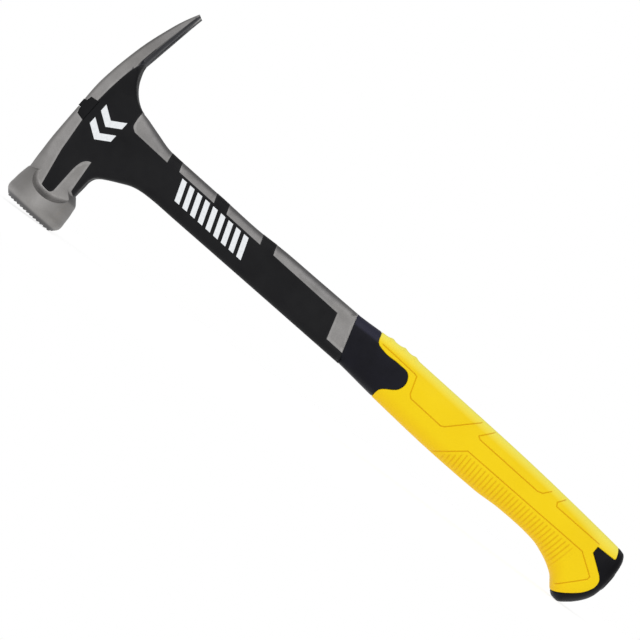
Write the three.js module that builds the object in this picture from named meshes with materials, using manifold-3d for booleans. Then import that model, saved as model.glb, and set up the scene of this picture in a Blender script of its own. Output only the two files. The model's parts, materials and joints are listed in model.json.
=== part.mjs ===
// A framing claw hammer, set down on a bench on its strike face and its butt cap, claw up.
// Millimetres. It is modelled in the hammer's own frame, then turned into its rest pose:
//   x runs along the handle from the crown (0) to the butt,
//   z runs against the blow, so the claw is at +z and the strike face at -z,
//   y runs across the head, with y = 0 the plane of symmetry.
// Outlines seen from the side are lists of [x, z].

import * as THREE from 'three';
import { mergeVertices } from 'three/addons/utils/BufferGeometryUtils.js';
import Module from 'manifold-3d';

// ---------------------------------------------------------------- driving dimensions

const LENGTH = 406.4;              // 16 inches, from the front of the head to the butt
const GAP = 0.3;                   // clearance between touching pieces
const WIDE = 40;                   // half-width of a cutter that goes right through

const FACE_X = 19.8;               // the bell's axis
const FACE_Z = -79.4;              // the plane of the strike face
const FACE_RADIUS = 15.6;
const BELL_RADIUS = 19.5;
const TOOTH_PITCH = 2.45;
const TOOTH_DEPTH = 1.1;
const TEETH_ACROSS = 13;           // odd, so that one tooth stands on the axis

const CHEEK_HALF = 11.3;           // half-thickness of the flat cheeks
const SHANK_HALF = 6.8;            // half-thickness of the shank
const WEB_HALF = 2.6;              // half-thickness of the shank's web under the jacket
const CLAW_HALF = 16.5;            // half-width over both tines
const CLAW_TIP = 69.6;
const SLOT_ROOT = 31;              // where the claw's V slot starts
const SLOT_ROOT_HALF = 0.9;
const SLOT_TIP_HALF = 5.2;
const BEVEL_TURN = -0.9;           // how far the tines' undersides are bevelled, in radians

const JACKET = 0.9;                // thickness of the black jacket over steel
const COLLAR_TOP = [198.2, 3.5];   // the slanted joint between shank and handle
const COLLAR_FRONT = [208.4, -24.9];

const SLEEVE = 3.0;                // thickness of the soft sleeve
const TANG_HALF = 3.2;
const TANG_END = 372;
const CORE_END = 396;

const INSERT_HALF = 11.9;          // half-width of the nail-start insert
const NAIL_Z = -12.4;              // where the nail's head stops
const NAIL_GROOVE_RADIUS = 2.3;
const MAGNET_RADIUS = 3.0;
const MAGNET_TOP = 2.6;            // depth of the magnet's ends below the crown
const MAGNET_END = 7.1;

// ---------------------------------------------------------------- solids

const wasm = await Module();
wasm.setup();

function solid(geometry) {
  const bare = geometry.clone();
  bare.deleteAttribute('normal');
  bare.deleteAttribute('uv');
  const merged = mergeVertices(bare, 1e-4);
  return new wasm.Manifold(new wasm.Mesh({
    numProp: 3,
    vertProperties: new Float32Array(merged.attributes.position.array),
    triVerts: new Uint32Array(merged.index.array),
  }));
}

function geometryOf(manifold) {
  const mesh = manifold.getMesh();
  const geometry = new THREE.BufferGeometry();
  geometry.setAttribute('position', new THREE.BufferAttribute(mesh.vertProperties, 3));
  geometry.setIndex(new THREE.BufferAttribute(mesh.triVerts, 1));
  geometry.computeVertexNormals();
  return geometry;
}

// A smooth curve through [at, value] points that never overshoots them.
function smooth(points) {
  const slope = points.map((point, i) => {
    const before = points[i - 1];
    const after = points[i + 1];
    if (!before || !after) return 0;
    const left = (point[1] - before[1]) / (point[0] - before[0]);
    const right = (after[1] - point[1]) / (after[0] - point[0]);
    return left * right <= 0 ? 0 : (2 * left * right) / (left + right);
  });
  return (at) => {
    if (at <= points[0][0]) return points[0][1];
    const next = points.findIndex((point) => point[0] >= at);
    if (next < 0) return points[points.length - 1][1];
    const [x0, y0] = points[next - 1];
    const [x1, y1] = points[next];
    const span = x1 - x0;
    const t = (at - x0) / span;
    return y0 * (1 + 2 * t) * (1 - t) ** 2 + y1 * t * t * (3 - 2 * t)
      + slope[next - 1] * span * t * (1 - t) ** 2 - slope[next] * span * t * t * (1 - t);
  };
}

// A closed body through rings of points that all have the same count, ends capped.
function loft(rings) {
  const count = rings[0].length;
  const position = rings.flat().flatMap((point) => [point.x, point.y, point.z]);
  const index = [];
  for (let r = 0; r < rings.length - 1; r += 1) {
    for (let i = 0; i < count; i += 1) {
      const a = r * count + i;
      const b = r * count + ((i + 1) % count);
      index.push(a, a + count, b, b, a + count, b + count);
    }
  }
  for (const [ring, flip] of [[rings[0], false], [rings[rings.length - 1], true]]) {
    const start = flip ? (rings.length - 1) * count : 0;
    const centre = new THREE.Vector3();
    ring.forEach((point) => centre.addScaledVector(point, 1 / count));
    const hub = position.length / 3;
    position.push(centre.x, centre.y, centre.z);
    for (let i = 0; i < count; i += 1) {
      const a = start + i;
      const b = start + ((i + 1) % count);
      index.push(hub, flip ? b : a, flip ? a : b);
    }
  }
  const geometry = new THREE.BufferGeometry();
  geometry.setAttribute('position', new THREE.Float32BufferAttribute(position, 3));
  geometry.setIndex(index);
  const body = solid(geometry);
  return body.volume() > 0 ? body : solid(turnedInsideOut(geometry));
}

function turnedInsideOut(geometry) {
  const index = Array.from(geometry.index.array);
  for (let i = 0; i < index.length; i += 3) [index[i], index[i + 1]] = [index[i + 1], index[i]];
  geometry.setIndex(index);
  return geometry;
}

// A rounded rectangle as [across, along] pairs, centred, corners of the given radius.
function roundedBox(halfAcross, halfAlong, radius, steps) {
  const r = Math.min(radius, halfAcross - 0.05, halfAlong - 0.05);
  const ring = [];
  for (let corner = 0; corner < 4; corner += 1) {
    const across = (corner === 0 || corner === 3 ? 1 : -1) * (halfAcross - r);
    const along = (corner < 2 ? 1 : -1) * (halfAlong - r);
    for (let i = 0; i <= steps; i += 1) {
      const angle = (corner + i / steps) * (Math.PI / 2);
      ring.push([across + r * Math.cos(angle), along + r * Math.sin(angle)]);
    }
  }
  return ring;
}

// A side outline pushed through the hammer from y = from to y = to.
function prism(outline, from = -WIDE, to = WIDE) {
  const shape = new THREE.Shape(outline.map(([x, z]) => new THREE.Vector2(x, z)));
  const geometry = new THREE.ExtrudeGeometry(shape, { depth: to - from, bevelEnabled: false });
  geometry.rotateX(Math.PI / 2);
  geometry.translate(0, to, 0);
  return solid(geometry);
}

// The same outline on both sides of the hammer, from half-width `from` outwards.
function bothSides(outline, from, to = WIDE) {
  return prism(outline, from, to).add(prism(outline, -to, -from));
}

// Moves every edge of an outline outwards by a distance, or inwards if it is negative.
function grown(outline, distance) {
  const side = THREE.ShapeUtils.isClockWise(outline.map(([x, y]) => ({ x, y }))) ? -1 : 1;
  return outline.map((point, i) => {
    const before = outline[(i + outline.length - 1) % outline.length];
    const after = outline[(i + 1) % outline.length];
    const a = new THREE.Vector2(point[0] - before[0], point[1] - before[1]).normalize();
    const b = new THREE.Vector2(after[0] - point[0], after[1] - point[1]).normalize();
    const reach = (side * distance) / (1 + a.dot(b));
    return [point[0] + (a.y + b.y) * reach, point[1] - (a.x + b.x) * reach];
  });
}

// ---------------------------------------------------------------- the head and shank blank

// Poll, cheeks and claw: sections across the head, one after another along z.
const crownX = smooth([[-66, 1.0], [-58, 2.3], [-48, 2.0], [-14.4, 0.9], [3.4, 0.6], [15.3, 2.0],
  [26.6, 4.1], [37.3, 6.4], [50, 10], [61.3, 13.9], [CLAW_TIP, 17.6]]);
const throatX = smooth([[-66, 33], [-50, 33.3], [-43, 33.2], [-38, 34], [0, 34], [6, 31], [7.5, 28.1],
  [13.6, 19.8], [19, 16], [27.2, 13.3], [CLAW_TIP, 19.4]]);
const headHalf = smooth([[-66, 11.3], [-20, CHEEK_HALF], [4, CHEEK_HALF], [20, 14.4], [34, CLAW_HALF],
  [CLAW_TIP, 14.6]]);
const crownRound = smooth([[-66, 9], [-50, 5], [-30, 2.6], [10, 2.2], [CLAW_TIP, 1.2]]);
const headStations = [-66, -58, -50, -43, -38, -25, -12, 0, 6, 7.5, 10, 13.6, 16, 19, 23, 27.2, 32,
  38, 44, 50, 56, 61.3, 66, CLAW_TIP];

function headBlock(inset) {
  return loft(headStations.map((z) => {
    const low = crownX(z) + inset;
    const high = Math.max(throatX(z) - inset, low + 0.3);
    const half = headHalf(z) - inset;
    const centre = (low + high) / 2;
    return roundedBox(half, (high - low) / 2, crownRound(z), 3)
      .map(([across, along]) => new THREE.Vector3(centre + along, across, z));
  }));
}

// Neck and shank: sections one after another along x.
const neckFront = smooth([[22, -50], [32.6, -50], [33.3, -43], [34.5, -39.7], [37, -37.6], [39.8, -36],
  [54, -28.3], [60.8, -27], [84.6, -26.5], [212, -24.3]]);
const neckSpine = smooth([[22, 6], [28.1, 7.5], [35.4, 6], [58.2, 0.6], [66, 1.2], [129, 1.2],
  [138, 2.1], [212, 3.8]]);
const neckHalf = smooth([[22, CHEEK_HALF - 0.1], [34, CHEEK_HALF - 0.2], [66, 8.2], [100, SHANK_HALF],
  [212, SHANK_HALF]]);
const neckStations = [22, 28.1, 32.6, 33, 33.3, 34.5, 37, 39.8, 44, 49, 54, 60.8, 66, 75, 84.6, 100,
  129, 138, 160, 185, 212];

function neck(inset) {
  return loft(neckStations.map((x) => {
    const low = neckFront(x) + inset;
    const high = neckSpine(x) - inset;
    const half = neckHalf(x) - inset;
    const centre = (low + high) / 2;
    return roundedBox(half, (high - low) / 2, half * 0.7, 5)
      .map(([across, along]) => new THREE.Vector3(x, across, centre + along));
  }));
}

// The collar joint as a line, moved along x by `shift`; the outline takes what is on one side.
function beforeCollar(shift) {
  const lean = (COLLAR_FRONT[0] - COLLAR_TOP[0]) / (COLLAR_FRONT[1] - COLLAR_TOP[1]);
  const at = (z) => COLLAR_TOP[0] + (z - COLLAR_TOP[1]) * lean + shift;
  return [[-20, -100], [at(-100), -100], [at(90), 90], [-20, 90]];
}

function blank(inset) {
  return headBlock(inset).add(neck(inset));
}

// Recesses on both sides of the shank that leave an I-beam web between two flanges.
function webRecess(shrink) {
  const outline = [[72, -7], [72, -20], [182, -19], [182, -8]];
  return bothSides(grown(outline, -shrink), WEB_HALF + shrink);
}

// The steel that the jacket wraps, `under` millimetres below the finished surface.
function jacketedSteel(under, recessShrink) {
  return blank(under).subtract(webRecess(recessShrink));
}

// ---------------------------------------------------------------- where the jacket lies

const WINDOW_LINE = -4.5;          // inner edge of the bare windows along the spine
const WINDOW_LEAN = -0.41;         // how far their ends lean, x for each z

function windowOutline(start, end) {
  const rise = 10 - WINDOW_LINE;
  return [[start, WINDOW_LINE], [end, WINDOW_LINE],
    [end + WINDOW_LEAN * rise, 10], [start + WINDOW_LEAN * rise, 10]];
}

const cheekWindow = [[28.6, 16], [31.4, -3.2], [34.2, -4.6], [59.4, -5.1], [55.5, 10], [40, 16]];
const collarWindow = [[140, -3.8], [189.1, -3.8], [194.4, -19], [230, -19.1], [230, 10], [134.3, 10]];
const windows = [cheekWindow, windowOutline(68.6, 95), windowOutline(104.6, 130.4), collarWindow];

const jacketOutline = [
  [14.2, -62.2], [9.5, -40.3], [7, -19.6], [6.2, -5.1], [8.2, 19.2], [13.3, 27.1],
  [30, 40], [240, 20], [240, -45], [60, -45], [36, -57.8],
  [29.4, -53.9], [26.6, -34.2], [23.4, -36.9], [21.7, -40.7], [21.8, -60.8], [20.3, -62.5],
];

function jacketRegion(growth) {
  let region = prism(grown(jacketOutline, growth));
  for (const outline of windows) region = region.subtract(prism(grown(outline, -growth)));
  return region;
}

// ---------------------------------------------------------------- the forging

function bell() {
  const profile = [
    [0, 44], [14.6, 44], [15.2, 55.7], [17.7, 59.2], [18.7, 66], [BELL_RADIUS, 74.7], [18.2, 76.6],
    [FACE_RADIUS, -FACE_Z], [0, -FACE_Z],
  ].map(([radius, depth]) => new THREE.Vector2(radius, -depth));
  const geometry = new THREE.LatheGeometry(profile, 48);
  geometry.rotateX(Math.PI / 2);
  geometry.translate(FACE_X, 0, 0);
  const body = solid(geometry);
  return body.volume() > 0 ? body : solid(turnedInsideOut(mergeVertices(geometry)));
}

// Tapered grooves both ways across the face, leaving rows of flat-topped teeth, one at the centre.
function toothGrooves() {
  const shape = new THREE.Shape([
    new THREE.Vector2(-TOOTH_PITCH * 0.3, -0.2),
    new THREE.Vector2(TOOTH_PITCH * 0.3, -0.2),
    new THREE.Vector2(0.2, TOOTH_DEPTH),
    new THREE.Vector2(-0.2, TOOTH_DEPTH),
  ]);
  let cutter = null;
  for (const turn of [0, Math.PI / 2]) {
    for (let i = 0; i <= TEETH_ACROSS; i += 1) {
      const geometry = new THREE.ExtrudeGeometry(shape, { depth: 2 * WIDE, bevelEnabled: false });
      geometry.translate((i - TEETH_ACROSS / 2) * TOOTH_PITCH, 0, -WIDE);
      geometry.rotateX(Math.PI / 2);
      geometry.rotateZ(turn);
      geometry.translate(FACE_X, 0, FACE_Z);
      cutter = cutter ? cutter.add(solid(geometry)) : solid(geometry);
    }
  }
  return cutter;
}

// The hollow on each side where the flat cheek runs into the bell.
function scoops() {
  const outline = [[-5, -40], [-5, -53], [4.5, -56.5], [6.1, -60.4], [10.2, -65.1], [16.1, -66.2],
    [22.3, -66.5], [26, -64.6], [29.9, -60.4], [31.5, -56.5], [34, -53], [45, -53], [45, -40]];
  return bothSides(outline, CHEEK_HALF);
}

// The V slot that makes the two tines, with a round root.
function clawSlot() {
  const widening = (SLOT_TIP_HALF - SLOT_ROOT_HALF) / (CLAW_TIP - SLOT_ROOT);
  const top = CLAW_TIP + 4;
  const topHalf = SLOT_ROOT_HALF + (top - SLOT_ROOT) * widening;
  const shape = new THREE.Shape();
  shape.moveTo(topHalf, top);
  shape.lineTo(SLOT_ROOT_HALF, SLOT_ROOT);
  shape.absarc(0, SLOT_ROOT, SLOT_ROOT_HALF, 0, -Math.PI, true);
  shape.lineTo(-topHalf, top);
  const geometry = new THREE.ExtrudeGeometry(shape, {
    depth: 2 * WIDE, bevelEnabled: false, curveSegments: 6,
  });
  geometry.rotateX(Math.PI / 2);
  geometry.rotateZ(Math.PI / 2);
  geometry.translate(-WIDE, 0, 0);
  return solid(geometry);
}

// The long bevel on the underside of one tine: everything below its ridge and outside a slant.
function clawBevel() {
  const belowRidge = [[7.6, 24], [13, 46.6], [18.6, CLAW_TIP + 2], [WIDE, CLAW_TIP + 2], [WIDE, 24]];
  const slant = new THREE.BoxGeometry(WIDE, WIDE, CLAW_TIP);
  slant.translate(WIDE / 2, WIDE / 2, 0);
  slant.rotateZ(BEVEL_TURN);
  slant.translate(8.5, CLAW_HALF - 0.6, CLAW_TIP * 0.75);
  return prism(belowRidge, 0, WIDE).intersect(solid(slant));
}

function tang(growth) {
  const outline = [[190, -4], [216, -3.4], [TANG_END - 4, -4], [TANG_END, -8], [TANG_END, -14],
    [TANG_END - 4, -18.5], [216, -18.5], [190, -16]];
  return prism(grown(outline, growth), -TANG_HALF - growth, TANG_HALF + growth);
}

const forkOutline = [[262, -8.8], [352, -8.8], [356, -11.2], [352, -13.6], [262, -13.6], [258, -11.2]];

function forging() {
  const oversize = blank(-3);
  const pocket = oversize.intersect(jacketRegion(GAP)).subtract(jacketedSteel(JACKET + GAP, 0));
  return blank(0)
    .add(bell())
    .subtract(scoops())
    .subtract(pocket)
    .subtract(clawSlot())
    .subtract(clawBevel())
    .subtract(clawBevel().mirror([0, 1, 0]))
    .subtract(toothGrooves())
    .subtract(prism(grown(insertOutline, GAP)))
    .subtract(nailGroove())
    .intersect(prism(beforeCollar(0)))
    .add(tang(0).subtract(prism(grown(forkOutline, GAP))));
}

function jacket() {
  return blank(0)
    .intersect(prism(beforeCollar(-GAP)))
    .intersect(jacketRegion(0))
    .subtract(jacketedSteel(JACKET, GAP))
    .subtract(prism(grown(insertOutline, GAP)));
}

// ---------------------------------------------------------------- the nail start

// A cross-shaped block let into the crown; the nail lies in its groove, head against its step.
const insertOutline = [[0.6, -14.4], [2.3, -14.4], [2.6, -16], [3.4, -18.1], [7.4, -19.2],
  [7.4, -5.4], [3.1, -6.2], [2.6, -9.2], [0.6, -9.6]];

function nailGroove() {
  const length = 80;
  const geometry = new THREE.CylinderGeometry(NAIL_GROOVE_RADIUS, NAIL_GROOVE_RADIUS, length, 16);
  geometry.rotateX(Math.PI / 2);
  geometry.translate(-0.6, 0, NAIL_Z - length / 2);
  return solid(geometry);
}

// A disc let into the back of the insert, under the groove.
function magnetDisc(radius, top, end) {
  const geometry = new THREE.CylinderGeometry(radius, radius, end - top, 24);
  geometry.rotateZ(Math.PI / 2);
  geometry.translate((top + end) / 2, 0, NAIL_Z);
  return solid(geometry);
}

function magnet() {
  return magnetDisc(MAGNET_RADIUS, MAGNET_TOP, MAGNET_END);
}

function nailInsert() {
  return prism(insertOutline, -INSERT_HALF, INSERT_HALF)
    .subtract(nailGroove())
    .subtract(magnetDisc(MAGNET_RADIUS + GAP, MAGNET_TOP - GAP, MAGNET_END + 2));
}

// ---------------------------------------------------------------- the handle

const handleFront = smooth([[196, -24.6], [208.4, -24.9], [235, -26.2], [281, -27.3], [314, -26.8],
  [332, -25.2], [346, -24.9], [357.5, -25.5], [367.7, -28.1], [378.3, -33.3], [385, -40.2],
  [388, -42.1], [391.5, -42.3], [396.3, -39.1], [402.9, -31.4], [405.4, -26], [LENGTH, -21]]);
const handleBack = smooth([[196, 3.4], [215.6, 4.6], [238, 6.7], [302, 6.7], [398.3, 3.9],
  [402.3, 3.2], [404.5, 0.5], [405.9, -4], [LENGTH, -8]]);
const handleHalf = smooth([[196, 7.1], [205, 8], [214, 9.6], [240, 13.2], [290, 14.2], [340, 13], [375, 14.6],
  [394, 15.4], [401, 14.6], [404.5, 12.5], [LENGTH, 9]]);
const handleStations = [196, 205, 210, 215.6, 226, 238, 281, 314, 332, 346, 357.5, 367.7, 373, 378.3,
  382, 385, 388, 391.5, 396.3, 400, 402.9, 404.5, 405.4, LENGTH];

function handleBody(inset, end) {
  const stations = handleStations.filter((x) => x < end).concat(end);
  return loft(stations.map((x) => {
    const low = handleFront(x) + inset;
    const high = handleBack(x) - inset;
    const half = handleHalf(x) - inset;
    const centre = (low + high) / 2;
    return superellipse(half, (high - low) / 2, 2.7, 28)
      .map(([across, along]) => new THREE.Vector3(x, across, centre + along));
  }));
}

// A ring between an ellipse and a box, with a flat facet at top and bottom.
function superellipse(halfAcross, halfAlong, power, count) {
  return Array.from({ length: count }, (_, i) => {
    const angle = ((i + 0.5) / count) * 2 * Math.PI;
    const bulge = (value) => Math.sign(value) * Math.abs(value) ** (2 / power);
    return [halfAcross * bulge(Math.cos(angle)), halfAlong * bulge(Math.sin(angle))];
  });
}

// The line where the soft sleeve starts, from the back of the handle to its front.
const sleeveStart = [[212, 12], [215.6, 4.6], [218.1, -0.6], [224.1, -2.3], [235.6, -1.9],
  [242.1, -2.6], [243.6, -4], [245.3, -9.6], [244.7, -12], [235.7, -21.6], [235.3, -26], [235.1, -34]];

// The line where the butt cap starts, from its heel at the front to the back.
const capStart = [[382, -50], [384.8, -40.1], [387.9, -39.1], [393.1, -35.5], [401.9, -25.8],
  [403.3, -21.6], [402.7, -17.5], [400.6, -15.2], [389.3, -7.9], [389.1, -3.4], [398.8, -2.8],
  [401.3, -2.3], [400.4, 1], [398.3, 3.8], [396, 12]];

const collarRegion = [...sleeveStart, [190, -34], [190, 12]];
const capRegion = [...capStart, [420, 12], [420, -50]];

function core() {
  return handleBody(SLEEVE + GAP, CORE_END)
    .add(handleBody(0, 300).intersect(prism(grown(collarRegion, -GAP / 2))))
    .subtract(prism(beforeCollar(GAP)))
    .subtract(tang(GAP));
}

function sleeve() {
  return handleBody(0, LENGTH)
    .subtract(prism(grown(collarRegion, GAP / 2)))
    .subtract(prism(grown(capRegion, GAP / 2)))
    .subtract(handleBody(SLEEVE, CORE_END + GAP));
}

function buttCap() {
  return handleBody(0, LENGTH)
    .intersect(prism(grown(capRegion, -GAP / 2)))
    .subtract(handleBody(SLEEVE, CORE_END + GAP));
}

function damper() {
  return prism(forkOutline, -TANG_HALF, TANG_HALF);
}

// ---------------------------------------------------------------- the assembly

const finish = {
  steel: { color: 0x96918c, roughness: 0.38, metalness: 0.9 },
  jacket: { color: 0x232325, roughness: 0.6, metalness: 0 },
  insert: { color: 0x18181a, roughness: 0.55, metalness: 0 },
  magnet: { color: 0xb8b8b6, roughness: 0.25, metalness: 1 },
  core: { color: 0x12131c, roughness: 0.45, metalness: 0 },
  sleeve: { color: 0xf2cf14, roughness: 0.5, metalness: 0 },
  damper: { color: 0x3a3a3c, roughness: 0.8, metalness: 0 },
};

function part(name, body, look) {
  const mesh = new THREE.Mesh(geometryOf(body), new THREE.MeshStandardMaterial(finish[look]));
  mesh.name = name;
  return mesh;
}

const hammer = new THREE.Group();
hammer.add(
  part('steel_forging', forging(), 'steel'),
  part('neck_jacket', jacket(), 'jacket'),
  part('nail_start_insert', nailInsert(), 'insert'),
  part('nail_start_magnet', magnet(), 'magnet'),
  part('handle_core', core(), 'core'),
  part('tang_damper', damper(), 'damper'),
  part('grip_sleeve', sleeve(), 'sleeve'),
  part('butt_cap', buttCap(), 'core'),
);

// Set down on the handle-side rim of the strike face and on the heel of the butt cap.
const faceContact = [FACE_X + FACE_RADIUS, FACE_Z];
const heelContact = [391.5, -42.3];
hammer.rotation.y = Math.atan2(heelContact[1] - faceContact[1], heelContact[0] - faceContact[0]);
hammer.updateMatrixWorld(true);
const box = new THREE.Box3().setFromObject(hammer, true);
hammer.position.set(-(box.min.x + box.max.x) / 2, 0, -box.min.z);

const clawHammer = new THREE.Group();
clawHammer.add(hammer);
export default clawHammer;
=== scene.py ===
"""A framing claw hammer on a pale floor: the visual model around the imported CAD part.

Shapes are made in the hammer's own frame, in millimetres: x along the handle from the crown to the
butt, z against the blow (the claw is at +z, the strike face at -z), y across. `place` turns that
frame into the row frame, in metres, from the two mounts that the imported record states.
"""

import json
import math

import bpy
import numpy as np
from mathutils import Matrix, Vector
from mathutils.geometry import delaunay_2d_cdt


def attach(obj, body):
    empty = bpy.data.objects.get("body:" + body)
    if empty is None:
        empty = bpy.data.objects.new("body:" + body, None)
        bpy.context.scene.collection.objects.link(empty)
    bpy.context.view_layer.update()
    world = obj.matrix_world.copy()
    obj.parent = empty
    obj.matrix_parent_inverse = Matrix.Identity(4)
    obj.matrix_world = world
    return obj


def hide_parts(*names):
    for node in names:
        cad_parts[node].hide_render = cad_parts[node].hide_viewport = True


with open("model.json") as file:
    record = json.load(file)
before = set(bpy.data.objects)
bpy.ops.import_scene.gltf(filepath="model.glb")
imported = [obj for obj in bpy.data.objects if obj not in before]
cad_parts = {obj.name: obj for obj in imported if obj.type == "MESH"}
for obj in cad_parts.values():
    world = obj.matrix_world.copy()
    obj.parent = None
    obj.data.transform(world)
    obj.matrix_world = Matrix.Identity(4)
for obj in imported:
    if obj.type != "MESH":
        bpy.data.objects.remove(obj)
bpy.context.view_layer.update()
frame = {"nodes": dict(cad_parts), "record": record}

# -------- the hammer's frame

FACE_X = 19.8  # the bell's axis
FACE_Z = -79.4  # the plane of the strike face
LENGTH = 406.4  # from the crown to the butt

mounts = {mount["name"]: mount for mount in frame["record"]["mounts"]}
face_centre = Vector(mounts["strike_face"]["pos_m"])
along = Vector(mounts["butt_face"]["axis"])
up = -Vector(mounts["strike_face"]["axis"])
across = Vector((0, 1, 0))
turn = Matrix((along, across, up)).transposed()
origin = face_centre - turn @ Vector((FACE_X, 0, FACE_Z)) / 1000
place = Matrix.Translation(origin) @ turn.to_4x4() @ Matrix.Scale(0.001, 4)

# -------- camera, lights, floor

CAMERA_DISTANCE = 2.0  # metres
CAMERA_LENS = 197.0  # mm, for a sensor 36 mm wide
LOOK_AT = (184.4, 0, -13.5)  # the point of the hammer in the middle of the frame
HANDLE_DIP = math.radians(42.0)  # how far the handle runs down to the right in the frame
LIT_POINT = Vector((0, 0, 0.05))  # metres, the point that the lights face
ROOM_LIGHT = 0.56
FLOOR_RADIUS = 0.6  # metres
FLOOR_GREY = (0.22, 0.22, 0.22, 1)
FLOOR_GLOW = 0.82
FLOOR_FADE = (0.24, 0.58)  # metres from the middle: where the fade starts, and where it ends


def add_object(name, data):
    thing = bpy.data.objects.new(name, data)
    bpy.context.scene.collection.objects.link(thing)
    return thing


def set_inputs(node, values):
    for name, value in values.items():
        node.inputs[name].default_value = value


def add_camera():
    """Places the camera and returns its right, up and backward directions."""
    camera = add_object("camera", bpy.data.cameras.new("camera"))
    right = math.cos(HANDLE_DIP) * along + math.sin(HANDLE_DIP) * up
    above = -math.sin(HANDLE_DIP) * along + math.cos(HANDLE_DIP) * up
    back = right.cross(above)
    camera.matrix_world = Matrix.Translation(place @ Vector(LOOK_AT) + back * CAMERA_DISTANCE) \
        @ Matrix((right, above, back)).transposed().to_4x4()
    camera.data.lens = CAMERA_LENS
    camera.data.sensor_width = 36
    camera.data.clip_start = 0.01
    bpy.context.scene.camera = camera
    return right, above, back


def add_area_light(name, where, size, power):
    """A round lamp, `size` metres across and of `power` watts, that faces the hammer."""
    light = add_object(name, bpy.data.lights.new(name, "AREA"))
    light.data.shape = "DISK"
    light.data.size = size
    light.data.energy = power
    light.location = where
    light.rotation_euler = (LIT_POINT - where).to_track_quat("-Z", "Y").to_euler()


def add_lights(right, above, back):
    """A small lamp above right of the camera, and a large soft one behind it."""
    add_area_light("key", LIT_POINT + above * 1.0 + back * 0.9 + right * 0.75, 1.4, 7)
    add_area_light("front", LIT_POINT + back * 2.6 + above * 0.5, 3.4, 19)


def add_world():
    """White behind the object, and a dimmer white room that lights it."""
    world = bpy.data.worlds.new("studio")
    bpy.context.scene.world = world
    world.use_nodes = True
    nodes = world.node_tree.nodes
    links = world.node_tree.links
    room = nodes["Background"]
    backdrop = nodes.new("ShaderNodeBackground")
    set_inputs(room, {"Color": (1, 1, 1, 1), "Strength": ROOM_LIGHT})
    set_inputs(backdrop, {"Color": (1, 1, 1, 1), "Strength": 1.0})
    path = nodes.new("ShaderNodeLightPath")
    mix = nodes.new("ShaderNodeMixShader")
    links.new(path.outputs["Is Camera Ray"], mix.inputs["Fac"])
    links.new(room.outputs["Background"], mix.inputs[1])
    links.new(backdrop.outputs["Background"], mix.inputs[2])
    links.new(mix.outputs["Shader"], nodes["World Output"].inputs["Surface"])


def add_floor():
    """A pale disc that fades out around the hammer."""
    bpy.ops.mesh.primitive_circle_add(vertices=96, radius=FLOOR_RADIUS, fill_type="NGON")
    floor = bpy.context.object
    floor.name = "floor"
    floor.data.materials.append(floor_white())


# -------- curves and meshes

POINT_SPACING = 0.7  # mm between the points of a line, unless it says otherwise


def hermite(t, first, last, leaving, arriving):
    """A cubic from first to last as t goes from 0 to 1, with the given slopes at its ends."""
    return (first * (1 + 2 * t) * (1 - t) ** 2 + last * t * t * (3 - 2 * t)
            + leaving * t * (1 - t) ** 2 - arriving * t * t * (1 - t))


def curve(points, spacing=POINT_SPACING):
    """Points every `spacing` mm or less along a smooth line through the given points."""
    given = np.array(points, float)
    chord = np.linalg.norm(np.diff(given, axis=0), axis=1)
    at = np.concatenate([[0.0], np.cumsum(chord)])
    slope = np.gradient(given, at, axis=0, edge_order=1)
    out = []
    for i, length in enumerate(chord):
        count = max(1, math.ceil(length / spacing))
        t = (np.arange(count) / count)[:, None]
        out.append(hermite(t, given[i], given[i + 1], slope[i] * length, slope[i + 1] * length))
    out.append(given[-1:])
    return np.concatenate(out)


def polyline(points, spacing=POINT_SPACING):
    """Points every `spacing` mm or less along straight lines through the given points."""
    given = np.array(points, float)
    out = []
    for a, b in zip(given[:-1], given[1:]):
        count = max(1, math.ceil(np.linalg.norm(b - a) / spacing))
        out.append(a + (b - a) * (np.arange(count) / count)[:, None])
    out.append(given[-1:])
    return np.concatenate(out)


def join(*lines):
    """One line from several, each starting where the one before ends."""
    return np.concatenate([lines[0]] + [line[1:] for line in lines[1:]])


def smooth(points):
    """A smooth function through (at, value) points that never overshoots them."""
    at, value = np.array(points, float).T
    step = np.diff(value) / np.diff(at)
    slope = np.zeros(len(at))
    left, right = step[:-1], step[1:]
    both = left * right > 0
    slope[1:-1][both] = (2 * left * right)[both] / (left + right)[both]

    def f(x):
        x = np.clip(x, at[0], at[-1])
        i = np.clip(np.searchsorted(at, x, side="right") - 1, 0, len(at) - 2)
        span = at[i + 1] - at[i]
        t = (x - at[i]) / span
        return hermite(t, value[i], value[i + 1], slope[i] * span, slope[i + 1] * span)
    return f


def ramp(value, low, high):
    """0 below low, 1 above high, smooth between."""
    t = np.clip((value - low) / (high - low), 0, 1)
    return t * t * (3 - 2 * t)


def nearest(points, line):
    """Each point's distance to an open line, and the index of the line's nearest segment."""
    batch = 4000  # points at a time, to save memory
    a, b = line[:-1], line[1:]
    best = np.full(len(points), np.inf)
    which = np.zeros(len(points), int)
    for start in range(0, len(points), batch):
        p = points[start:start + batch, None, :]
        edge = (b - a)[None]
        t = np.clip(((p - a[None]) * edge).sum(2) / np.maximum((edge ** 2).sum(2), 1e-12), 0, 1)
        gap = np.linalg.norm(p - (a[None] + t[..., None] * edge), axis=2)
        which[start:start + batch] = gap.argmin(1)
        best[start:start + batch] = gap.min(1)
    return best, which


def inside(points, outline):
    """Which points lie inside a closed outline."""
    x, y = points[:, 0], points[:, 1]
    found = np.zeros(len(points), bool)
    previous = outline[-1]
    for corner in outline:
        crosses = (corner[1] > y) != (previous[1] > y)
        rise = previous[1] - corner[1]
        if rise:
            reach = corner[0] + (y - corner[1]) * (previous[0] - corner[0]) / rise
            found ^= crosses & (x < reach)
        previous = corner
    return found


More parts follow.
